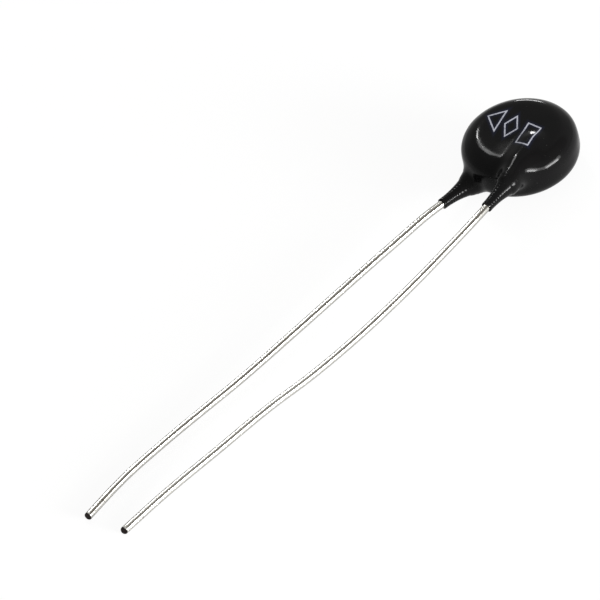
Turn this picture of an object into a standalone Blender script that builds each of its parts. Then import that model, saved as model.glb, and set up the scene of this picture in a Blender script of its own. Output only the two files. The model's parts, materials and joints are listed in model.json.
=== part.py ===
# Disc thermistor: a fired ceramic disc with a soldered wire on each face, dipped in black resin.
# The part lies flat, with its two wires running towards -Y and their cut tips on the same surface.
# Its origin is the middle of its footprint, at the height of that surface.
import math

import bmesh
import bpy
import numpy as np
from mathutils import Matrix, Vector

MM = 0.001

# Ceramic disc
CERAMIC_DIAMETER = 8.0 * MM
CERAMIC_THICKNESS = 1.3 * MM
CERAMIC_EDGE = 0.12 * MM

# Fired silver on each face of the disc, which stops short of its edge
SILVER_MARGIN = 0.35 * MM
SILVER_THICKNESS = 0.05 * MM

# Tinned wires: front is the upper face, back the lower one
WIRE_DIAMETER = 0.6 * MM
PAIR_OFFSET = 0.63 * MM
PITCH_AT_SOLDER = 3.4 * MM
PITCH_AT_SLEEVE = 5.15 * MM
WIRE_SHORT_OF_CENTRE = 0.2 * MM
STRAIGHT_BELOW_SLEEVE = 0.5 * MM

# Solder over the end of each wire
SOLDER_WIDTH = 1.5 * MM
SOLDER_LENGTH = 2.3 * MM
SOLDER_COVER = 0.2 * MM
SOLDER_PAST_WIRE = 0.3 * MM

# Resin coat: its skin over the disc, the ridge over each wire and the sleeve that ran down it
COAT_AT_RIM = 0.48 * MM
COAT_OVER_WIRE = 0.75 * MM
COAT_SQUARENESS = 3.0
RIDGE_WALL = 0.65 * MM
SLEEVE_WALL = 0.11 * MM
SLEEVE_REACH = 2.95 * MM
SLEEVE_TAPER = 2.2
FLOW_RADIUS = 0.8 * MM

# Gap that touching pieces keep between them
SEAT_GAP = 0.02 * MM

# Reach of each wire from its sleeve to its cut tip, and its bends as shares of that reach:
# how far on from the sleeve, and how far sideways
FRONT_REACH = 38.6 * MM
BACK_REACH = 38.9 * MM
FRONT_BENDS = (
    (0.122, 0.0052),
    (0.225, 0.0073),
    (0.433, -0.0013),
    (0.510, -0.0104),
    (0.601, -0.0267),
    (0.756, -0.0446),
    (0.889, -0.0596),
    (1, -0.0661),
)
BACK_BENDS = (
    (0.121, -0.0064),
    (0.378, -0.0118),
    (0.532, -0.0149),
    (0.784, -0.0301),
    (0.877, -0.0319),
    (0.918, -0.0296),
    (1, -0.0216),
)

# Fineness of the facets
ROUND_SIDES = 48
WIRE_SIDES = 12
SOLDER_SIDES = 20
ROUGH_COAT_SIDES = 32
COAT_FACET = 0.32 * MM
WIRE_STEP = 1.3 * MM

# How the coat's skin is brought onto its form: rounds of smoothing and settling, how far each
# point moves to the middle of its neighbours, and the least slope that a step trusts
SKIN_ROUNDS = 4
SETTLE_STEPS = 5
SMOOTHING = 0.5
LEAST_SLOPE = 0.1

# Values that follow from the sizes above
CERAMIC_RADIUS = CERAMIC_DIAMETER / 2
CERAMIC_HALF = CERAMIC_THICKNESS / 2
SILVER_RADIUS = CERAMIC_RADIUS - SILVER_MARGIN
SILVER_BASE = CERAMIC_HALF + SEAT_GAP
SILVER_TOP = SILVER_BASE + SILVER_THICKNESS
WIRE_RADIUS = WIRE_DIAMETER / 2
WIRE_LEVEL = SILVER_TOP + SEAT_GAP + WIRE_RADIUS
SOLDER_BASE = SILVER_TOP + SEAT_GAP
SOLDER_RISE = WIRE_DIAMETER + SOLDER_COVER
COAT_RADIUS = CERAMIC_RADIUS + COAT_AT_RIM
COAT_HALF = WIRE_LEVEL + WIRE_RADIUS + COAT_OVER_WIRE
RIDGE_RADIUS = WIRE_RADIUS + RIDGE_WALL
SLEEVE_RADIUS = WIRE_RADIUS + SEAT_GAP + SLEEVE_WALL
SLEEVE_END = -(COAT_RADIUS + SLEEVE_REACH)

FRONT = 1
BACK = -1


# Scene, meshes and finishes

def clear_scene():
    for item in list(bpy.data.objects):
        bpy.data.objects.remove(item, do_unlink=True)


def finish(name, colour, roughness, metallic):
    made = bpy.data.materials.new(name)
    made.use_nodes = True
    shader = made.node_tree.nodes["Principled BSDF"]
    shader.inputs["Base Color"].default_value = (*colour, 1)
    shader.inputs["Roughness"].default_value = roughness
    shader.inputs["Metallic"].default_value = metallic
    return made


def new_object(name, data, look=None):
    made = bpy.data.objects.new(name, data)
    bpy.context.scene.collection.objects.link(made)
    if look:
        data.materials.append(look)
    return made


def object_from(name, build, look=None):
    shape = bmesh.new()
    build(shape)
    bmesh.ops.recalc_face_normals(shape, faces=shape.faces)
    mesh = bpy.data.meshes.new(name)
    shape.to_mesh(mesh)
    shape.free()
    return new_object(name, mesh, look)


def evaluated_mesh(item):
    graph = bpy.context.evaluated_depsgraph_get()
    return bpy.data.meshes.new_from_object(item.evaluated_get(graph))


def apply_modifiers(item):
    done = evaluated_mesh(item)
    item.modifiers.clear()
    item.data = done


def cut_away(item, cutters):
    for cutter in cutters:
        cutter.hide_render = True
        cutter.display_type = "WIRE"
        cut = item.modifiers.new(cutter.name, "BOOLEAN")
        cut.operation = "DIFFERENCE"
        cut.solver = "EXACT"
        cut.object = cutter
    apply_modifiers(item)
    for cutter in cutters:
        bpy.data.objects.remove(cutter, do_unlink=True)


def shade_round(item, crease=math.radians(35)):
    item.data.shade_smooth()
    item.data.set_sharp_from_angle(angle=crease)


# Route of a wire's centre line. In the coat it is straight: from the solder, where the two wires
# are closer together, it spreads to the end of its sleeve.

def wire_x(side, pitch):
    return PAIR_OFFSET + side * pitch / 2


def line_in_coat(side):
    level = side * WIRE_LEVEL
    return [
        Vector((wire_x(side, PITCH_AT_SOLDER), -WIRE_SHORT_OF_CENTRE, level)),
        Vector((wire_x(side, PITCH_AT_SLEEVE), SLEEVE_END, level)),
    ]


def carried_on(line, length):
    run = (line[-1] - line[-2]).normalized()
    return [*line, line[-1] + length * run]


def line_below_sleeve(side, tip_level):
    # Each wire falls evenly to the surface that its tip rests on
    reach, bends = (FRONT_REACH, FRONT_BENDS) if side == FRONT else (BACK_REACH, BACK_BENDS)
    sleeve_end = line_in_coat(side)[-1]
    fall = tip_level - sleeve_end.z
    return [
        sleeve_end + Vector((aside * reach, -along * reach, fall * along))
        for along, aside in bends
    ]


def slope_at(before, point, after):
    near, far = (point - before).length, (after - point).length
    return ((point - before) * far / near + (after - point) * near / far) / (near + far)


def smooth_curve(route):
    # A Hermite curve through every point of the route, straight where three points are in line
    slopes = [slope_at(*three) for three in zip(route, route[1:], route[2:])]
    slopes = [(route[1] - route[0]).normalized(), *slopes, (route[-1] - route[-2]).normalized()]
    points = []
    for start, end, leave, arrive in zip(route, route[1:], slopes, slopes[1:]):
        length = (end - start).length
        steps = math.ceil(length / WIRE_STEP)
        for t in (step / steps for step in range(steps)):
            points.append(
                (1 + 2 * t) * (1 - t) ** 2 * start + t * (1 - t) ** 2 * length * leave
                + t ** 2 * (3 - 2 * t) * end - t ** 2 * (1 - t) * length * arrive
            )
    return [*points, route[-1]]


def wire_line(side, tip_level):
    stub = carried_on(line_in_coat(side), STRAIGHT_BELOW_SLEEVE)
    return smooth_curve(stub + line_below_sleeve(side, tip_level))


def rod(name, points, radius, look=None):
    curve = bpy.data.curves.new(name + "_line", "CURVE")
    curve.dimensions = "3D"
    curve.bevel_depth = radius
    curve.bevel_resolution = WIRE_SIDES // 2 - 2
    curve.use_fill_caps = True
    line = curve.splines.new("POLY")
    line.points.add(len(points) - 1)
    for place, point in zip(line.points, points):
        place.co = (*point, 1)
    swept = new_object(name + "_line", curve)
    mesh = evaluated_mesh(swept)
    bpy.data.objects.remove(swept, do_unlink=True)
    shape = bmesh.new()
    shape.from_mesh(mesh)
    bmesh.ops.remove_doubles(shape, verts=shape.verts, dist=SEAT_GAP / 10)
    bmesh.ops.recalc_face_normals(shape, faces=shape.faces)
    shape.to_mesh(mesh)
    shape.free()
    return new_object(name, mesh, look)


# Ceramic disc, silver and solder. Each is built with a growth, which is nought for the piece
# itself and the seat gap for the room that it takes up in the coat.

def flat_disc(shape, radius, bottom, top):
    made = bmesh.ops.create_cone(
        shape, cap_ends=True, segments=ROUND_SIDES,
        radius1=radius, radius2=radius, depth=top - bottom,
    )
    bmesh.ops.translate(shape, verts=made["verts"], vec=(0, 0, (top + bottom) / 2))


def ceramic(name, growth=0, look=None):
    def build(shape):
        half = CERAMIC_HALF + growth
        flat_disc(shape, CERAMIC_RADIUS + growth, -half, half)
        rims = [edge for edge in shape.edges if edge.verts[0].co.z * edge.verts[1].co.z > 0]
        bmesh.ops.bevel(
            shape, geom=rims, offset=CERAMIC_EDGE, segments=2, profile=0.5, affect="EDGES",
        )
    return object_from(name, build, look)


def silver(name, side, growth=0, look=None):
    def build(shape):
        ends = sorted((side * (SILVER_BASE - growth), side * (SILVER_TOP + growth)))
        flat_disc(shape, SILVER_RADIUS + growth, *ends)
    return object_from(name, build, look)


def solder(name, side, growth=0, look=None):
    # A rounded mound whose flat base lies on the silver and whose top covers the wire's end
    def build(shape):
        bmesh.ops.create_uvsphere(
            shape, u_segments=SOLDER_SIDES, v_segments=SOLDER_SIDES // 2, radius=1,
        )
        size = (SOLDER_WIDTH / 2 + growth, SOLDER_LENGTH / 2 + growth, SOLDER_RISE + growth)
        bmesh.ops.scale(shape, verts=shape.verts, vec=size)
        wire_end, sleeve_end = line_in_coat(side)
        run = (sleeve_end - wire_end).normalized()
        lean = Matrix.Rotation(Vector((0, -1)).angle_signed(run.xy), 3, "Z")
        bmesh.ops.rotate(shape, verts=shape.verts, matrix=lean)
        place = wire_end + run * (SOLDER_LENGTH / 2 - SOLDER_PAST_WIRE)
        place.z = side * SOLDER_BASE
        bmesh.ops.translate(shape, verts=shape.verts, vec=place)
        below = bmesh.ops.bisect_plane(
            shape, geom=[*shape.verts, *shape.edges, *shape.faces],
            plane_co=place - Vector((0, 0, side * growth)), plane_no=(0, 0, -side),
            clear_outer=True,
        )
        rim = [item for item in below["geom_cut"] if isinstance(item, bmesh.types.BMEdge)]
        bmesh.ops.holes_fill(shape, edges=rim)
    return object_from(name, build, look)


# Form of the coat, as the depth of points below its skin (negative inside)

def squared_disc(points):
    # A disc with a full round edge and slightly crowned faces
    across = np.hypot(points[:, 0], points[:, 1]) / COAT_RADIUS
    up = np.abs(points[:, 2]) / COAT_HALF
    power = COAT_SQUARENESS
    form = (across ** power + up ** power) ** (1 / power)
    slope = np.hypot(across ** (power - 1) / COAT_RADIUS, up ** (power - 1) / COAT_HALF)
    return (form - 1) * form ** (power - 1) / np.maximum(slope, 1e-9)


def coat_radius_round_wire(y):
    # Full ridge over the disc, then a taper to the thin end of the sleeve
    share = np.clip((y - SLEEVE_END) / SLEEVE_REACH, 0, 1)
    return SLEEVE_RADIUS + (RIDGE_RADIUS - SLEEVE_RADIUS) * share ** SLEEVE_TAPER


def round_wire(points, line):
    start, run = np.array(line[0]), np.array(line[-1] - line[0])
    share = np.clip((points - start) @ run / (run @ run), 0, 1)
    foot = start + share[:, None] * run
    return np.linalg.norm(points - foot, axis=1) - coat_radius_round_wire(foot[:, 1])


def flow_together(first, second):
    # Smooth minimum: two forms run into one another as wet resin does
    near = np.maximum(FLOW_RADIUS - np.abs(first - second), 0)
    return np.minimum(first, second) - near ** 2 / (4 * FLOW_RADIUS)


def coat_depth(points, lines):
    depth = squared_disc(points)
    for line in lines:
        depth = flow_together(depth, round_wire(points, line))
    return depth


def settle_on_skin(points, lines):
    # Newton steps that bring each point onto the skin of the coat
    probe = SEAT_GAP / 4
    for _ in range(SETTLE_STEPS):
        depth = coat_depth(points, lines)
        slope = np.stack([
            (coat_depth(points + probe * axis, lines) - depth) / probe for axis in np.eye(3)
        ], axis=1)
        steepness = np.maximum((slope ** 2).sum(axis=1), LEAST_SLOPE ** 2)
        points = points - (depth / steepness)[:, None] * slope
    return points


def rough_coat(lines):
    # Overlapping solids of about the right form, which the remesh turns into one even skin
    def build(shape):
        bmesh.ops.create_uvsphere(
            shape, u_segments=ROUGH_COAT_SIDES, v_segments=ROUGH_COAT_SIDES // 2, radius=1,
        )
        bmesh.ops.scale(shape, verts=shape.verts, vec=(COAT_RADIUS, COAT_RADIUS, COAT_HALF))
    body = object_from("rough_coat", build)
    for line in lines:
        sleeve = rod("rough_sleeve", line, (RIDGE_RADIUS + SLEEVE_RADIUS) / 2)
        join = body.modifiers.new(sleeve.name, "BOOLEAN")
        join.operation = "UNION"
        join.solver = "EXACT"
        join.object = sleeve
        apply_modifiers(body)
        bpy.data.objects.remove(sleeve, do_unlink=True)
    remesh = body.modifiers.new("even_skin", "REMESH")
    remesh.mode = "VOXEL"
    remesh.voxel_size = COAT_FACET
    apply_modifiers(body)
    return body


def finer_sleeves(shape):
    thin = [edge for edge in shape.edges if max(vert.co.y for vert in edge.verts) < -COAT_RADIUS]
    bmesh.ops.subdivide_edges(shape, edges=thin, cuts=1, use_grid_fill=True)


def fit_skin(item, lines):
    shape = bmesh.new()
    shape.from_mesh(item.data)
    finer_sleeves(shape)
    for _ in range(SKIN_ROUNDS):
        bmesh.ops.smooth_vert(
            shape, verts=shape.verts, factor=SMOOTHING,
            use_axis_x=True, use_axis_y=True, use_axis_z=True,
        )
        points = np.array([vert.co for vert in shape.verts], dtype=float)
        for vert, point in zip(shape.verts, settle_on_skin(points, lines)):
            vert.co = point
    shape.to_mesh(item.data)
    shape.free()


def past_sleeve(line):
    # Empty space that trims the sleeve square to its wire
    beyond = carried_on(line, 4 * SLEEVE_RADIUS)[-2:]
    return rod("past_sleeve", beyond, 3 * SLEEVE_RADIUS)


def coating(look):
    lines = [line_in_coat(side) for side in (FRONT, BACK)]
    untrimmed = [carried_on(line, SLEEVE_RADIUS) for line in lines]
    skin = rough_coat(untrimmed)
    fit_skin(skin, untrimmed)
    rooms = [ceramic("ceramic_room", SEAT_GAP)]
    for side, line in zip((FRONT, BACK), untrimmed):
        rooms.append(past_sleeve(line_in_coat(side)))
        rooms.append(silver("silver_room", side, SEAT_GAP))
        rooms.append(solder("solder_room", side, SEAT_GAP))
        rooms.append(rod("wire_room", line, WIRE_RADIUS + SEAT_GAP))
    cut_away(skin, rooms)
    skin.name = skin.data.name = "coating"
    skin.data.materials.append(look)
    return skin


def lowest_point(item):
    return min(vert.co.z for vert in item.data.vertices)


def stand_on_surface(pieces):
    # Every piece moves by one offset, which puts the origin under the middle of the part
    corners = np.array([vert.co for piece in pieces for vert in piece.data.vertices])
    low, high = corners.min(axis=0), corners.max(axis=0)
    middle = (low + high) / 2
    for piece in pieces:
        piece.location = (-middle[0], -middle[1], -low[2])


def main():
    clear_scene()
    resin = finish("black_resin", (0.012, 0.012, 0.013), 0.16, 0)
    tin = finish("tinned_wire", (0.72, 0.71, 0.68), 0.24, 1)
    grey_ceramic = finish("grey_ceramic", (0.12, 0.11, 0.10), 0.7, 0)
    fired_silver = finish("fired_silver", (0.78, 0.77, 0.74), 0.45, 1)
    solder_alloy = finish("solder_alloy", (0.66, 0.66, 0.65), 0.3, 1)

    coat = coating(resin)
    tip_level = lowest_point(coat) + WIRE_RADIUS
    pieces = [coat, ceramic("ceramic_disc", look=grey_ceramic)]
    for side, face in ((FRONT, "front"), (BACK, "back")):
        wire = rod("lead_" + face, wire_line(side, tip_level), WIRE_RADIUS, tin)
        joint = solder("solder_" + face, side, look=solder_alloy)
        cut_away(joint, [rod("wire_room", line_in_coat(side), WIRE_RADIUS + SEAT_GAP)])
        pieces += [silver("electrode_" + face, side, look=fired_silver), joint, wire]
    for piece in pieces:
        shade_round(piece)
    stand_on_surface(pieces)


main()
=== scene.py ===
# %% [markdown]
# # A disc thermistor, dressed for its portrait
#
# The object is one small electronic part: a round ceramic disc that senses heat, with a tinned
# wire soldered to each face, dipped in black resin that ran a little way down both wires.
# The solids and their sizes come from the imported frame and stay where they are. This script gives
# them their finish, and makes finer versions of the two things that show: the coat and the wires.

# %% Load the fixed frame
import json
import math

import bpy
import numpy as np
from mathutils import Matrix, Vector


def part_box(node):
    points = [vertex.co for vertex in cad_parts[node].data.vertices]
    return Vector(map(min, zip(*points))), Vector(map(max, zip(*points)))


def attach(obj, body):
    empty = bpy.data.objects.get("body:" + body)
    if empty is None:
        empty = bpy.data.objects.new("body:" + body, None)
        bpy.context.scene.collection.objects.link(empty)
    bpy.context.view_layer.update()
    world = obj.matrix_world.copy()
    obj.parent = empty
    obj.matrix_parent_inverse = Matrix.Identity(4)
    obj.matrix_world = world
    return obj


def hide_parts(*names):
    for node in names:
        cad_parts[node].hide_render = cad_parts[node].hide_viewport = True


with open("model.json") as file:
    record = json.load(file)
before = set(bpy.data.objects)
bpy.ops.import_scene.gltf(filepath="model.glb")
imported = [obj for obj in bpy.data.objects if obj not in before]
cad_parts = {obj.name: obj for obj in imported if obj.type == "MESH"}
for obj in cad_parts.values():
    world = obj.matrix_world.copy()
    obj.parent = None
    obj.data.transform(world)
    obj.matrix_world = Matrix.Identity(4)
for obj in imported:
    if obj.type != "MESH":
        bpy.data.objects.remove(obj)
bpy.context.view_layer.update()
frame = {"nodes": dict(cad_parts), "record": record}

MM = 0.001
print("nodes:", ", ".join(sorted(frame["nodes"])))

# %% [markdown]
# The photograph looks down on the flat disc from its right front, and the picture is turned a
# little, so that "up" on the disc leans left. A camera could be placed by eye and nudged until it
# matches. Here it is placed by what was measured: the two angles of the view, the turn of the
# picture, the scale in pixels to the millimetre and the pixel where the middle of the disc lies.
# A very long lens keeps the far and the near end of the wires equally thick, as they are there.

# %% Camera
PHOTO_SIZE = 600
PIXELS_PER_MM = 13.3
DISC_PIXEL = (520.6, 147.4)
VIEW_AZIMUTH = math.radians(51.6)
VIEW_ELEVATION = math.radians(41.0)
PICTURE_TURN = math.radians(14.0)
LENS = 1200.0
SENSOR = 36.0


def middle_of(node):
    low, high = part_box(node)
    return (low + high) / 2


DISC_MIDDLE = middle_of("ceramic_disc")


def add_camera():
    back = Vector((
        math.sin(VIEW_AZIMUTH) * math.cos(VIEW_ELEVATION),
        -math.cos(VIEW_AZIMUTH) * math.cos(VIEW_ELEVATION),
        math.sin(VIEW_ELEVATION),
    ))
    facing = (-back).to_track_quat("-Z", "Y").to_matrix() @ Matrix.Rotation(-PICTURE_TURN, 3, "Z")
    right, up = facing.col[0], facing.col[1]
    pixel = MM / PIXELS_PER_MM
    aim = (DISC_MIDDLE
           - right * (DISC_PIXEL[0] - PHOTO_SIZE / 2) * pixel
           - up * (PHOTO_SIZE / 2 - DISC_PIXEL[1]) * pixel)
    distance = LENS / SENSOR * PHOTO_SIZE * pixel
    bpy.ops.object.camera_add(location=aim + back * distance)
    camera = bpy.context.object
    camera.rotation_euler = facing.to_euler()
    camera.data.lens = LENS
    camera.data.sensor_width = SENSOR
    camera.data.clip_start = distance / 10
    camera.data.clip_end = distance * 10
    bpy.context.scene.camera = camera
    return camera


CAMERA = add_camera()
print("camera at", [round(v, 4) for v in CAMERA.location])

# %% [markdown]
# Black gloss shows little but its lamps, so the lamps were found from the picture: at each bright
# spot the slope of the skin is known, and the mirrored line of sight points at what shines there.
# It gave a window on the left, with a soft patch above it, that draws the line down the ridge, a
# low one behind for the far rim, and wide low ones on the right for the near rim.

# %% Lamps
LAMP_DISTANCE = 0.5


def direction_of(azimuth, elevation):
    # Azimuth in degrees from +Y towards +X
    a, e = math.radians(azimuth), math.radians(elevation)
    return Vector((math.sin(a) * math.cos(e), math.cos(a) * math.cos(e), math.sin(e)))


def add_lamp(name, azimuth, elevation, width, height, radiance):
    # Width and height are angles in degrees, as seen from the part
    towards = direction_of(azimuth, elevation)
    bpy.ops.object.light_add(type="AREA", location=DISC_MIDDLE + towards * LAMP_DISTANCE)
    lamp = bpy.context.object
    lamp.name = name
    lamp.data.shape = "RECTANGLE"
    lamp.data.size = 2 * LAMP_DISTANCE * math.tan(math.radians(width / 2))
    lamp.data.size_y = 2 * LAMP_DISTANCE * math.tan(math.radians(height / 2))
    lamp.data.energy = radiance * math.pi * lamp.data.size * lamp.data.size_y
    lamp.rotation_euler = (-towards).to_track_quat("-Z", "Y").to_euler()
    print(name, "gives", round(lamp.data.energy, 2), "W")


add_lamp("left_window", -60, 39, 1.6, 5, 130)
add_lamp("soft_window", -61, 47, 7, 8, 18)
add_lamp("low_back", -44, 7, 9, 5, 30)
add_lamp("low_right", 80, 8, 26, 12, 66)
add_lamp("low_right_glow", 80, 13, 38, 18, 16)


# %% [markdown]
# Materials are built from nodes. Sums of masks and noises are easier to read as sums, so one small
# class wraps a socket and lets Python's own operators add the Math nodes. Every other node comes
# from one method, which takes the node's type, its settings and what goes into its sockets.

# %% A little language for shaders
class Signal:
    def __init__(self, finish, socket):
        self.finish, self.socket = finish, socket

    def calc(self, operation, *others):
        return self.finish.node("ShaderNodeMath", {"operation": operation}, (self, *others))

    def __add__(self, other): return self.calc("ADD", other)
    def __sub__(self, other): return self.calc("SUBTRACT", other)
    def __mul__(self, other): return self.calc("MULTIPLY", other)
    def __truediv__(self, other): return self.calc("DIVIDE", other)
    def __pow__(self, other): return self.calc("POWER", other)
    def __gt__(self, other): return self.calc("GREATER_THAN", other)
    def __rsub__(self, other): return self * -1 + other
    __radd__ = __add__
    __rmul__ = __mul__

    def least(self, other): return self.calc("MINIMUM", other)
    def most(self, other): return self.calc("MAXIMUM", other)
    def clipped(self): return self.least(1).most(0)


class Finish:
    def __init__(self, name):
        self.material = bpy.data.materials.new(name)
        self.material.use_nodes = True
        self.tree = self.material.node_tree
        self.shader = self.tree.nodes["Principled BSDF"]

    @classmethod
    def of_tree(cls, tree, shader):
        finish = cls.__new__(cls)
        finish.tree, finish.shader = tree, tree.nodes[shader]
        return finish

    def node(self, kind, settings=None, inputs=(), output=0):
        made = self.tree.nodes.new(kind)
        for key, value in (settings or {}).items():
            setattr(made, key, value)
        named = inputs.items() if isinstance(inputs, dict) else enumerate(inputs)
        for key, value in named:
            if isinstance(value, Signal):
                self.tree.links.new(value.socket, made.inputs[key])
            else:
                made.inputs[key].default_value = value
        return Signal(self, made.outputs[output])

    def place(self):
        return self.node("ShaderNodeTexCoord", output="Object")

    def axes(self, vector):
        split = self.node("ShaderNodeSeparateXYZ", inputs=(vector,)).socket.node
        return [Signal(self, split.outputs[axis]) for axis in "XYZ"]

    def noise(self, vector, scale, detail):
        sockets = {"Vector": vector, "Scale": scale, "Detail": detail}
        return self.node("ShaderNodeTexNoise", inputs=sockets)

    def stretched(self, vector, scale):
        return self.node("ShaderNodeMapping", inputs={"Vector": vector, "Scale": scale})

    def blend(self, share, first, second):
        # A Mix node has sockets for every kind of data: 0, 6, 7 and output 2 are the colours'
        return self.node("ShaderNodeMix", {"data_type": "RGBA"}, {0: share, 6: first, 7: second},
                         output=2)

    def bump(self, height, distance):
        return self.node("ShaderNodeBump", inputs={"Distance": distance, "Height": height})

    def set(self, **values):
        for key, value in values.items():
            socket = self.shader.inputs[key.replace("_", " ")]
            if isinstance(value, Signal):
                self.tree.links.new(value.socket, socket)
            else:
                socket.default_value = value


def grey(level):
    return (level, level, level, 1)


# %% [markdown]
# The rest of the room is a light tent: pale cloth all round, with a darker opening high at the
# back, which draws the one grey line along each wire. A plain grey world would light the part as
# well, but then round tinned wire looks like flat white tape. Only the camera sees the tent as
# plain white, as the backdrop of the picture is.

# %% World
TENT_CLOTH = (0.67, 0.67, 0.66, 1)
TENT_DARK = (0.21, 0.195, 0.175, 1)
OPENING = direction_of(40, 47)
OPENING_HALF_WIDTH = math.radians(27)
OPENING_SHARPNESS = 14


def light_tent():
    world = bpy.context.scene.world or bpy.data.worlds.new("light_tent")
    bpy.context.scene.world = world
    world.use_nodes = True
    tent = Finish.of_tree(world.node_tree, "Background")
    towards = tent.node("ShaderNodeTexCoord", output="Generated")
    facing = tent.node("ShaderNodeVectorMath", {"operation": "DOT_PRODUCT"}, (towards, OPENING),
                       output=1)
    dark = ((facing - math.cos(OPENING_HALF_WIDTH)) * OPENING_SHARPNESS + 0.5).clipped()
    seen = tent.node("ShaderNodeLightPath")
    cloth = tent.blend(dark, TENT_CLOTH, TENT_DARK)
    tent.set(Color=tent.blend(seen, cloth, grey(1)), Strength=1.0)


light_tent()
print("tent opening towards", [round(v, 2) for v in OPENING])


# %% [markdown]
# The picture has no room in it: the part lies on pure white. A pale floor gives that. What the
# camera and shiny things see of it is mostly a plain white of its own and a small share of lit
# floor, so it stays white under modest lamps, and the soft shadow that sets the part down stays.

# %% Floor
FLOOR_SIZE = 3.0
FLOOR_PAINT = grey(0.9)
FLOOR_ROUGHNESS = 0.9
OWN_WHITE = 0.9
MIRRORED_WHITE = 0.5


def pale_floor(finish):
    finish.set(**{"Base Color": FLOOR_PAINT, "Roughness": FLOOR_ROUGHNESS,
                  "Specular IOR Level": 0.0})
    path = finish.node("ShaderNodeLightPath").socket.node
    seen = [Signal(finish, path.outputs[name]) for name in
            ("Is Camera Ray", "Is Glossy Ray", "Is Transmission Ray")]
    white = finish.node("ShaderNodeEmission", inputs={"Color": grey(1), "Strength": 1.0})
    lit = Signal(finish, finish.shader.outputs[0])
    share = seen[0] * OWN_WHITE + (seen[1] + seen[2]) * MIRRORED_WHITE
    mixed = finish.node("ShaderNodeMixShader", inputs=(share, lit, white))
    finish.tree.links.new(mixed.socket, finish.tree.nodes["Material Output"].inputs["Surface"])


bpy.ops.mesh.primitive_plane_add(size=FLOOR_SIZE, location=(0, 0, 0))
FLOOR = bpy.context.object
FLOOR.name = "floor"
FLOOR_FINISH = Finish("pale_floor")
pale_floor(FLOOR_FINISH)
FLOOR.data.materials.append(FLOOR_FINISH.material)
bpy.context.scene.view_settings.view_transform = "Standard"
print("floor", FLOOR_SIZE, "m wide")


# %% [markdown]
# The coat is one skin. On the real part it is wet resin that settled into the smoothest shape it
# could: a pebble over the disc, a low ridge over each wire, and a sleeve that thins out down it.
# Bevelled boxes can't make such a form, and the solid of the frame would show its facets in the
# gloss. So a few rough solids are joined and remeshed to an even skin of small squares, and each
# point of that skin is then settled on the form. Its outer sizes and the lines of the wires are
# read off the frame, and the rest of its sizes are named here.

# %% Sizes of the coat
SQUARENESS = 3.0
WIRE_RADIUS = 0.3 * MM
RIDGE_RADIUS = 0.95 * MM
SLEEVE_RADIUS = 0.43 * MM
SLEEVE_TAPER = 2.2
FLOW_RADIUS = 0.8 * MM
SEAT_GAP = 0.02 * MM
MERGE_GAP = SEAT_GAP / 20
SKIN_SQUARE = 0.09 * MM
FACE_DROP = 0.28 * MM
FACE_ROUND = 0.15 * MM
WAVE_HEIGHT = 0.006 * MM
RIDGE_KNEE_Y = -4.3 * MM
RIDGE_TURN = 0.5 * MM
RIDGE_SHORT = 0.2 * MM
RESIN_OVER_WIRE = 0.75 * MM
LIP_ROUND = math.sqrt(SLEEVE_RADIUS ** 2 - (WIRE_RADIUS + SEAT_GAP) ** 2)


# %% Where each wire runs inside the coat
def node_points(node):
    mesh = bpy.data.objects[node].data
    points = np.empty(len(mesh.vertices) * 3)
    mesh.vertices.foreach_get("co", points)
    return points.reshape(-1, 3) - np.array(DISC_MIDDLE)


COAT_LOW, COAT_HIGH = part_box("coating")
COAT_FOOT = COAT_LOW.y - DISC_MIDDLE.y


def wire_in_coat(node):
    # The wire is straight from the ring of points at its soldered end to one below the sleeve
    points = node_points(node)
    straight = points[points[:, 1] > COAT_FOOT - 1 * MM]
    middle = (straight[:, 1].min() + straight[:, 1].max()) / 2
    rings = straight[straight[:, 1] < middle], straight[straight[:, 1] >= middle]
    outer, inner = (np.unique(ring.round(7), axis=0).mean(axis=0) for ring in rings)
    run = (outer - inner) / np.linalg.norm(outer - inner)
    sleeve_end = COAT_FOOT + SLEEVE_RADIUS * math.sqrt(1 - run[1] ** 2)
    lip_start = inner + run * ((sleeve_end - inner[1]) / run[1] - LIP_ROUND)
    return np.array([lip_start, inner])


WIRE_LINES = [wire_in_coat("lead_front"), wire_in_coat("lead_back")]
COAT_RADIUS = (COAT_HIGH.x - COAT_LOW.x) / 2
COAT_HALF = WIRE_LINES[0][1, 2] + WIRE_RADIUS + RESIN_OVER_WIRE
LIP_Y = max(line[0, 1] for line in WIRE_LINES)
SLEEVE_REACH = -LIP_Y - COAT_RADIUS + LIP_ROUND
for line in WIRE_LINES:
    print("wire in the coat, mm:", (line / MM).round(3).tolist())
print("coat, mm:", [round(v / MM, 3) for v in (COAT_RADIUS, COAT_HALF, SLEEVE_REACH)])


# %% The rough solids
def deselect_all():
    if bpy.context.object and bpy.context.object.mode != "OBJECT":
        bpy.ops.object.mode_set(mode="OBJECT")
    bpy.ops.object.select_all(action="DESELECT")


def pick(*items):
    deselect_all()
    for item in items:
        item.select_set(True)
    bpy.context.view_layer.objects.active = items[0]


def settle_place(item):
    pick(item)
    bpy.ops.object.transform_apply(location=True, rotation=True, scale=True)


def rough_sleeve(line):
    start, end = Vector(line[0]), Vector(line[1])
    run = end - start
    deselect_all()
    bpy.ops.mesh.primitive_cone_add(
        vertices=24, radius1=SLEEVE_RADIUS, radius2=RIDGE_RADIUS, depth=run.length,
        location=DISC_MIDDLE + (start + end) / 2,
        rotation=run.to_track_quat("Z", "Y").to_euler(),
    )
    return bpy.context.object


deselect_all()
bpy.ops.mesh.primitive_uv_sphere_add(segments=64, ring_count=32, radius=1, location=DISC_MIDDLE)
COAT = bpy.context.object
COAT.name = COAT.data.name = "resin_coat"
COAT.scale = (COAT_RADIUS, COAT_RADIUS, COAT_HALF)
pick(COAT, *[rough_sleeve(line) for line in WIRE_LINES])
bpy.ops.object.join()
settle_place(COAT)


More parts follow.
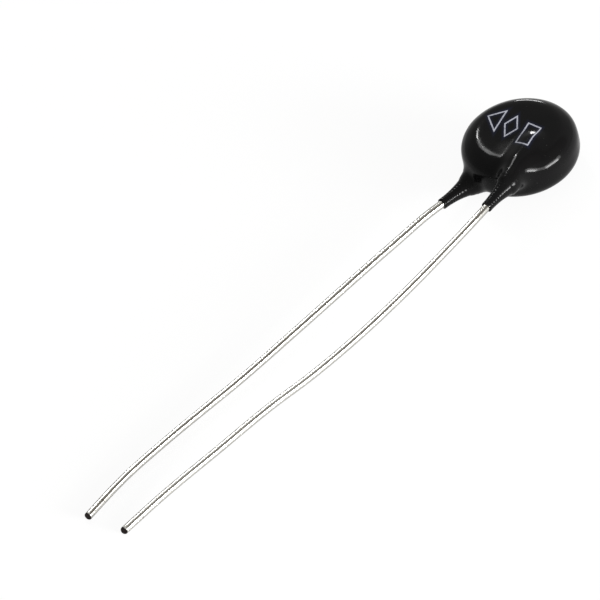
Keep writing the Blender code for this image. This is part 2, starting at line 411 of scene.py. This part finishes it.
def apply_modifier(item, name, kind, **settings):
    modifier = item.modifiers.new(name, kind)
    for key, value in settings.items():
        setattr(modifier, key, value)
    pick(item)
    bpy.ops.object.modifier_apply(modifier=modifier.name)


apply_modifier(COAT, "even_skin", "REMESH", mode="VOXEL", voxel_size=SKIN_SQUARE)
print("skin:", len(COAT.data.polygons), "faces")


# %% [markdown]
# The form is written as a distance from the skin: nought on it, negative inside. A squashed disc,
# whose two faces are first made flatter, and a tapering rod round each wire flow into one another
# by a smooth minimum, which rounds the hollow between two shapes as surface tension does. A slow
# waviness is added last, because a dipped skin is never quite even.

# %% The form of the coat
def squared_disc(points):
    across = np.hypot(points[:, 0], points[:, 1]) / COAT_RADIUS
    up = np.abs(points[:, 2]) / COAT_HALF
    form = (across ** SQUARENESS + up ** SQUARENESS) ** (1 / SQUARENESS)
    steep = SQUARENESS - 1
    slope = np.hypot(across ** steep / COAT_RADIUS, up ** steep / COAT_HALF)
    return (form - 1) * form ** steep / np.maximum(slope, 1e-9)


def ridge_path(line):
    # Over the disc the ridge turns a little towards the middle, as the solder pulled it
    lip, inner = line
    knee = lip + (inner - lip) * (RIDGE_KNEE_Y - lip[1]) / (inner[1] - lip[1])
    return [(lip, knee), (knee, inner - (math.copysign(RIDGE_TURN, inner[2]), RIDGE_SHORT, 0))]


def round_wire(points, line):
    nearest = np.full(len(points), np.inf)
    for start, end in ridge_path(line):
        run = end - start
        share = np.clip((points - start) @ run / (run @ run), 0, 1)
        foot = start + share[:, None] * run
        taper = np.clip((foot[:, 1] - LIP_Y) / SLEEVE_REACH, 0, 1) ** SLEEVE_TAPER
        radius = SLEEVE_RADIUS + (RIDGE_RADIUS - SLEEVE_RADIUS) * taper
        nearest = np.minimum(nearest, np.linalg.norm(points - foot, axis=1) - radius)
    return nearest


def flow_together(first, second, radius=FLOW_RADIUS):
    near = np.maximum(radius - np.abs(first - second), 0)
    return np.minimum(first, second) - near ** 2 / (4 * radius)


def flat_faces(points, depth):
    slab = np.abs(points[:, 2]) - (COAT_HALF - FACE_DROP)
    return -flow_together(-depth, -slab, FACE_ROUND)


def waves(points):
    # Sine waves of unlike lengths and leanings, so that no pattern repeats over the part
    x, y, z = (points / MM).T
    slow = np.sin(1.7 * x + 0.9 * y + 0.4) * np.sin(1.1 * y - 1.3 * x + 2.1 * z)
    quick = np.sin(3.1 * x - 1.7 * y + 1.9) * np.sin(2.9 * y + 1.3 * z + 0.6)
    return WAVE_HEIGHT * (slow + 0.4 * quick)


def coat_depth(points):
    depth = flat_faces(points, squared_disc(points))
    for line in WIRE_LINES:
        depth = flow_together(depth, round_wire(points, line))
    return depth + waves(points)


# %% Settle the skin on the form
# The slope is felt by small steps along each axis, and each point then goes down it to nought
PROBE = SEAT_GAP / 4
SMOOTHING_ROUNDS = 3
SMOOTHING_REPEATS = 3
SMOOTHING_SHARE = 0.5
SETTLING_STEPS = 4
LEAST_STEEPNESS = 0.01


def slope_of(form, points):
    here = form(points)
    steps = [(form(points + PROBE * axis) - here) / PROBE for axis in np.eye(3)]
    return here, np.stack(steps, axis=1)


def settle(points):
    for _ in range(SETTLING_STEPS):
        depth, slope = slope_of(coat_depth, points)
        steep = np.maximum((slope ** 2).sum(axis=1), LEAST_STEEPNESS)
        points = points - (depth / steep)[:, None] * slope
    return points


def settle_skin(item):
    middle = np.array(DISC_MIDDLE)
    for _ in range(SMOOTHING_ROUNDS):
        pick(item)
        bpy.ops.object.mode_set(mode="EDIT")
        bpy.ops.mesh.select_all(action="SELECT")
        bpy.ops.mesh.vertices_smooth(factor=SMOOTHING_SHARE, repeat=SMOOTHING_REPEATS)
        bpy.ops.object.mode_set(mode="OBJECT")
        points = np.empty(len(item.data.vertices) * 3)
        item.data.vertices.foreach_get("co", points)
        points = settle(points.reshape(-1, 3) - middle) + middle
        item.data.vertices.foreach_set("co", points.ravel())
        item.data.update()


settle_skin(COAT)
print("farthest from the form, mm:",
      np.abs(coat_depth(node_points(COAT.name))).max().round(7) / MM)


# %% [markdown]
# Inside the resin sit the disc, its silver, the solder and the ends of the wires. A skin alone
# would look the same from outside, but it would be a lie where anyone cuts the model open or
# weighs it. So a slightly grown copy of each inner piece is cut out of the coat.

# %% Room for what the resin holds
INNER_NODES = ("ceramic_disc", "electrode_front", "electrode_back", "solder_front", "solder_back",
               "lead_front", "lead_back")
COAT_SMOOTH_BELOW = math.radians(40)


def grown_copy(node, growth):
    source = bpy.data.objects[node]
    made = bpy.data.objects.new(node + "_room", source.data.copy())
    bpy.context.scene.collection.objects.link(made)
    pick(made)
    bpy.ops.object.mode_set(mode="EDIT")
    bpy.ops.mesh.select_all(action="SELECT")
    bpy.ops.mesh.remove_doubles(threshold=MERGE_GAP)
    bpy.ops.transform.shrink_fatten(value=growth, use_even_offset=True)
    bpy.ops.object.mode_set(mode="OBJECT")
    return made


for node in INNER_NODES:
    room = grown_copy(node, SEAT_GAP)
    apply_modifier(COAT, node, "BOOLEAN", operation="DIFFERENCE", solver="EXACT", object=room)
    bpy.data.objects.remove(room, do_unlink=True)
    print("after", node, len(COAT.data.polygons), "faces")

pick(COAT)
bpy.ops.object.shade_smooth_by_angle(angle=COAT_SMOOTH_BELOW)
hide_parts("coating")
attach(COAT, "root")


# %% [markdown]
# The wires are drawn, tinned and cut with side cutters. A wire could be a row of joined
# cylinders, or a copy of the faceted solid made smooth, but both pinch at the bends and the cut
# ends. A curve with a round bevel is a wire by nature. Its points are the middles of the rings of
# the solid in the frame, so it follows the same hand bends and keeps the same cut ends.

# %% The middle line of each wire
RING_GAP = 0.2 * MM
RING_POINTS = 12
LINE_STEP = 1.2 * MM


def ring_middles(node):
    points = np.unique(node_points(node).round(8), axis=0)
    points = points[np.argsort(-points[:, 1])]
    splits = np.flatnonzero(-np.diff(points[:, 1]) > RING_GAP) + 1
    rings = [ring for ring in np.split(points, splits) if len(ring) >= RING_POINTS]
    return np.array([ring.mean(axis=0) for ring in rings])


def filled_in(middles):
    line = [middles[0]]
    for point in middles[1:]:
        steps = max(1, round(np.linalg.norm(point - line[-1]) / LINE_STEP))
        start = line[-1]
        line += [start + (point - start) * step / steps for step in range(1, steps + 1)]
    return np.array(line) + np.array(DISC_MIDDLE)


WIRE_MIDDLES = {node: filled_in(ring_middles(node)) for node in ("lead_front", "lead_back")}
for node, line in WIRE_MIDDLES.items():
    length = np.linalg.norm(np.diff(line, axis=0), axis=1).sum()
    print(node, len(line), "points,", round(length / MM, 2), "mm long")


# %% Round wires with cut ends
CUT_ROUND = 0.035 * MM
CUT_LEANS = {"lead_front": math.radians(24), "lead_back": math.radians(10)}
CUT_EDGE = math.radians(60)
WIRE_SMOOTH_BELOW = math.radians(50)
BEND_STEPS = 5
ROUND_STEPS = 26
CUT_STEPS = 3


def wire_curve(name, line):
    deselect_all()
    bpy.ops.curve.primitive_bezier_curve_add()
    wire = bpy.context.object
    wire.name = wire.data.name = name
    spline = wire.data.splines[0]
    spline.bezier_points.add(len(line) - 2)
    for knot, point in zip(spline.bezier_points, line):
        knot.co = point
        knot.handle_left_type = knot.handle_right_type = "AUTO"
    wire.data.resolution_u = BEND_STEPS
    wire.data.bevel_depth = WIRE_RADIUS
    wire.data.bevel_resolution = ROUND_STEPS
    wire.data.use_fill_caps = True
    return wire


def leaning_cut(wire, line, lean):
    # The last ring is slid along the wire, so that the cut faces the camera's side a little
    tip = line[-1]
    run = (tip - line[-2]) / np.linalg.norm(tip - line[-2])
    side = np.array(CAMERA.location.normalized())
    side = side - run * (side @ run)
    side = side / np.linalg.norm(side)
    for vertex in wire.data.vertices:
        offset = np.array(vertex.co) - tip
        if offset @ run > -SEAT_GAP:
            vertex.co -= Vector(run * (offset @ side) * math.tan(lean))


def cut_and_rounded(wire, line, lean):
    pick(wire)
    bpy.ops.object.convert(target="MESH")
    leaning_cut(wire, line, lean)
    bpy.ops.object.mode_set(mode="EDIT")
    bpy.ops.mesh.select_all(action="SELECT")
    bpy.ops.mesh.remove_doubles(threshold=MERGE_GAP)
    bpy.ops.mesh.normals_make_consistent(inside=False)
    bpy.ops.mesh.select_all(action="DESELECT")
    bpy.ops.mesh.select_mode(type="EDGE")
    bpy.ops.mesh.edges_select_sharp(sharpness=CUT_EDGE)
    bpy.ops.mesh.bevel(offset=CUT_ROUND, segments=CUT_STEPS)
    bpy.ops.mesh.select_mode(type="VERT")
    bpy.ops.object.mode_set(mode="OBJECT")
    bpy.ops.object.shade_smooth_by_angle(angle=WIRE_SMOOTH_BELOW)


WIRES = []
for node, line in WIRE_MIDDLES.items():
    wire = wire_curve(node.replace("lead", "wire"), line)
    cut_and_rounded(wire, line, CUT_LEANS[node])
    settle_place(wire)
    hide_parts(node)
    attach(wire, "root")
    WIRES.append(wire)
    print(wire.name, len(wire.data.polygons), "faces")


# %% [markdown]
# Black resin is almost all reflection. Its colour is nearly nothing, its gloss is a little uneven
# where it set, and under a lamp the skin shows a faint orange peel. A polished black ball would
# look like glass, so the noise that drives the peel also roughens the gloss here and there, and
# a few specks of dust lie on it, as on every part that has been handled. Down the sleeves, where
# the resin ran and shrank on the wire, it set in fine rings, and it is duller there and in the
# hollow beside the front ridge, where it pooled and set last.

# %% Black resin
PEEL_GRAIN = 1400
CLOUD_GRAIN = 260
DUST_GRAIN = 5200
RESIN_DARK = (0.0020, 0.0020, 0.0024, 1)
RESIN_PALE = (0.0050, 0.0048, 0.0046, 1)
DUST_COLOUR = (0.25, 0.25, 0.24, 1)
PEEL_HEIGHT = 0.007 * MM
RIB_STEP = 0.24 * MM
HOLLOW = (DISC_MIDDLE.x + 0.7 * MM, DISC_MIDDLE.y - 1.9 * MM)
HOLLOW_REACH = 1.1 * MM
HOLLOW_SHARPNESS = 1.4 / MM
FOOT_Y = DISC_MIDDLE.y - 3.4 * MM
FOOT_SHARPNESS = 1 / MM


def black_resin(finish):
    place = finish.place()
    peel = finish.noise(place, PEEL_GRAIN, 2)
    cloud = finish.noise(place, CLOUD_GRAIN, 3)
    dust = finish.noise(place, DUST_GRAIN, 1)
    speck = ((dust - 0.74) * 18).clipped() * ((cloud - 0.45) * 6).clipped()
    colour = finish.blend(cloud, RESIN_DARK, RESIN_PALE)
    colour = finish.blend(speck * 0.12, colour, DUST_COLOUR)
    x, y, _ = finish.axes(place)
    from_hollow = ((x - HOLLOW[0]) ** 2 + (y - HOLLOW[1]) ** 2) ** 0.5
    hollow = ((HOLLOW_REACH - from_hollow) * HOLLOW_SHARPNESS).clipped()
    foot = ((FOOT_Y - y) * FOOT_SHARPNESS).clipped()
    up_sleeve = ((y - (DISC_MIDDLE.y + LIP_Y)) / SLEEVE_REACH).clipped()
    rib = (y * (math.tau / RIB_STEP) + cloud * 9 + peel * 5).calc("SINE") * (1 - up_sleeve)
    height = peel * 0.6 + cloud * 1.4 + speck * 0.1 + rib * (cloud * 2.6)
    finish.set(**{
        "Base Color": colour,
        "Roughness": 0.07 + cloud * 0.07 + hollow * 0.14 + foot * 0.08 + speck * 0.3,
        "Normal": finish.bump(height, PEEL_HEIGHT),
        "Specular IOR Level": 0.06,
    })
    return place, colour


RESIN = Finish("black_resin")
RESIN_PLACE, RESIN_COLOUR = black_resin(RESIN)
print("black resin:", len(RESIN.tree.nodes), "nodes")


# %% [markdown]
# A disc like this carries a thin pale print. On a shared model it is three plain outlines, with
# the line width, colour and slant that such a print has. Each is a distance to straight lines,
# mirrored by taking |x| or |y|, so that an expression of a few terms draws it, and it stays sharp
# at any distance, which a picture wouldn't. The lengths are in millimetres.

# %% Three plain outlines in print
MARK_REACH = 1.10
MARK_HALF = 0.60
MARK_LINE = 0.12
MARK_SHARPNESS = 30
HALO_REACH = 0.34
MARK_TURN = math.radians(3)
MARK_LEAN = 0.24
MARK_MIDDLES = ((-2.34, 0.08), (-0.62, 0.08), (1.25, -0.02))
PRINT_COLOUR = (0.37, 0.38, 0.43, 1)
HALO_COLOUR = (0.010, 0.012, 0.030, 1)
WEAR_GRAIN = 4200


def mark_axes(finish, place, middle):
    x, y, _ = finish.axes(place)
    x = x * (1 / MM) - (DISC_MIDDLE.x / MM + middle[0])
    y = y * (1 / MM) - (DISC_MIDDLE.y / MM + middle[1])
    turned = x * math.cos(MARK_TURN) + y * math.sin(MARK_TURN)
    upright = y * math.cos(MARK_TURN) - x * math.sin(MARK_TURN)
    return turned + upright * MARK_LEAN, upright


def arrowhead(x, y):
    # Two sides that meet at the left, and one upright side at the right
    slope = math.hypot(MARK_REACH, 2 * MARK_HALF)
    slanted = (-MARK_HALF - x) * (MARK_REACH / slope)
    return (slanted + y.calc("ABSOLUTE") * (2 * MARK_HALF / slope)).most(x - MARK_HALF)


def rhombus(x, y):
    slope = math.hypot(MARK_REACH, MARK_HALF)
    sides = x.calc("ABSOLUTE") * MARK_REACH + y.calc("ABSOLUTE") * MARK_HALF
    return (sides - MARK_REACH * MARK_HALF) / slope


def slab(x, y):
    return (x.calc("ABSOLUTE") - MARK_HALF).most(y.calc("ABSOLUTE") - MARK_REACH)


def printed(finish, place, colour):
    nearest = None
    for shape, middle in zip((arrowhead, rhombus, slab), MARK_MIDDLES):
        distance = shape(*mark_axes(finish, place, middle)).calc("ABSOLUTE")
        nearest = distance if nearest is None else nearest.least(distance)
    face_up = finish.axes(place)[2] > DISC_MIDDLE.z + COAT_HALF / 2
    line = ((MARK_LINE / 2 - nearest) * MARK_SHARPNESS + 0.5).clipped() * face_up
    halo = ((HALO_REACH - nearest) * 4).clipped() * face_up
    wear = ((finish.noise(place, WEAR_GRAIN, 2) - 0.30) * 4).clipped() * 0.35 + 0.65
    colour = finish.blend(halo * 0.5, colour, HALO_COLOUR)
    return finish.blend(line * wear, colour, PRINT_COLOUR)


RESIN.set(**{"Base Color": printed(RESIN, RESIN_PLACE, RESIN_COLOUR)})
print("outlines:", len(MARK_MIDDLES))


def dress(item, finish):
    item.data.materials.clear()
    item.data.materials.append(finish.material)


dress(COAT, RESIN)


# %% [markdown]
# Tinned wire is drawn through a die, so fine lines run along it, and then dipped in tin, which
# leaves a soft, slightly yellow shine and a few dull patches. The lines are a noise that is
# stretched along the wire. The cut ends show the core's dark, oxidised face. Just above each, a
# thin dark ring is painted shade, for a nick where the cutters held the wire; it has no dent.

# %% Tinned wire
CUT_DARK = 0.10 * MM
CUT_RAGGED = 0.12 * MM
NICK_SHADE_AT = 1.75 * MM
EDGE_SHARPNESS = 12 / MM
DRAWN_GRAIN = (2600, 60, 2600)
PATCH_GRAIN = (900, 300, 900)
DRAWN_HEIGHT = 0.0008 * MM
TIN_DARK = (0.56, 0.55, 0.515, 1)
TIN_PALE = (0.76, 0.75, 0.715, 1)
# Painted shade: the colour of the dark ring that stands for a cutter's nick
NICK_SHADE_COLOUR = (0.12, 0.10, 0.09, 1)
CUT_COLOUR = (0.012, 0.008, 0.007, 1)
EDGE_TINT = (0.02, 0.02, 0.02, 1)
TIPS = {item["name"]: (Vector(item["pos_m"]), Vector(item["axis"]))
        for item in frame["record"]["mounts"]}


def below_tip(finish, place, tip):
    point, axis = TIPS[tip]
    from_tip = finish.node("ShaderNodeVectorMath", {"operation": "SUBTRACT"}, (place, point))
    return finish.node("ShaderNodeVectorMath", {"operation": "DOT_PRODUCT"}, (from_tip, axis),
                       output=1)


def tinned_wire(finish, tip):
    place = finish.place()
    drawn = finish.noise(finish.stretched(place, DRAWN_GRAIN), 1, 1)
    patch = finish.noise(finish.stretched(place, PATCH_GRAIN), 1, 3)
    along = below_tip(finish, place, tip)
    edge = along + (patch - 0.5) * CUT_RAGGED
    cut = ((edge + CUT_DARK) * EDGE_SHARPNESS + 0.5).clipped()
    # Painted shade: a thin, patchy dark ring just above the cut stands for a nick, with no dent
    nick_shade = (1 - (along + NICK_SHADE_AT).calc("ABSOLUTE") * EDGE_SHARPNESS).clipped() * (drawn > 0.5)
    colour = finish.blend(patch, TIN_DARK, TIN_PALE)
    colour = finish.blend(nick_shade * 0.8, colour, NICK_SHADE_COLOUR)
    colour = finish.blend(cut, colour, CUT_COLOUR)
    finish.set(**{
        "Base Color": colour,
        "Metallic": 1.0 - cut * 0.9,
        "Roughness": 0.13 + patch * 0.08 + cut * 0.4,
        "Normal": finish.bump(drawn, DRAWN_HEIGHT),
        "Specular Tint": EDGE_TINT,
    })


for wire, node in zip(WIRES, ("lead_front", "lead_back")):
    finish = Finish(node + "_tin")
    tinned_wire(finish, node + "_tip")
    dress(wire, finish)
    print(wire.name, "is tinned,", len(finish.tree.nodes), "nodes")


# %% [markdown]
# The pieces inside the coat never show in a portrait, but the model can be opened. Sintered
# ceramic is dull and dark grey with a fine grain, fired silver paste is a matt metal with the
# print of its screen, and solder is a bright metal that crinkled slightly as it froze.

# %% The pieces inside
CERAMIC_GRAIN = 7000
PORE_GRAIN = 5200.0
SCREEN_LINES = 18000
SILVER_GRAIN = 2600
SOLDER_CELLS = 2600.0
SOLDER_GRAIN = 5200


def grey_ceramic(finish):
    place = finish.place()
    grain = finish.noise(place, CERAMIC_GRAIN, 3)
    pores = finish.node("ShaderNodeTexVoronoi", inputs={"Vector": place, "Scale": PORE_GRAIN})
    dark = ((0.22 - pores) * 8).clipped()
    colour = finish.blend(grain, (0.085, 0.078, 0.070, 1), (0.16, 0.15, 0.14, 1))
    finish.set(**{
        "Base Color": finish.blend(dark, colour, (0.03, 0.028, 0.026, 1)),
        "Roughness": 0.62 + grain * 0.2,
        "Normal": finish.bump(grain - dark, 0.01 * MM),
    })


def fired_silver(finish):
    place = finish.place()
    x, y, _ = finish.axes(place)
    screen = (x * SCREEN_LINES).calc("SINE") * (y * SCREEN_LINES).calc("SINE")
    mottle = finish.noise(place, SILVER_GRAIN, 3)
    finish.set(**{
        "Base Color": finish.blend(mottle, (0.62, 0.61, 0.58, 1), (0.86, 0.85, 0.82, 1)),
        "Metallic": 1.0,
        "Roughness": 0.38 + mottle * 0.18,
        "Normal": finish.bump(screen * 0.3 + mottle, 0.006 * MM),
    })


def frozen_solder(finish):
    place = finish.place()
    cells = finish.node("ShaderNodeTexVoronoi", inputs={"Vector": place, "Scale": SOLDER_CELLS})
    frost = finish.noise(place, SOLDER_GRAIN, 4)
    finish.set(**{
        "Base Color": finish.blend(frost, (0.52, 0.52, 0.53, 1), (0.78, 0.78, 0.77, 1)),
        "Metallic": 1.0,
        "Roughness": 0.18 + cells * 0.25 + frost * 0.1,
        "Normal": finish.bump(cells + frost * 0.5, 0.02 * MM),
    })


INSIDE = {
    "grey_ceramic": (grey_ceramic, ("ceramic_disc",)),
    "fired_silver": (fired_silver, ("electrode_front", "electrode_back")),
    "solder_alloy": (frozen_solder, ("solder_front", "solder_back")),
}
for name, (recipe, nodes) in INSIDE.items():
    finish = Finish(name)
    recipe(finish)
    for node in nodes:
        bpy.data.objects[node].data.materials[0] = finish.material
print("finishes:", sorted(item.name for item in bpy.data.materials))
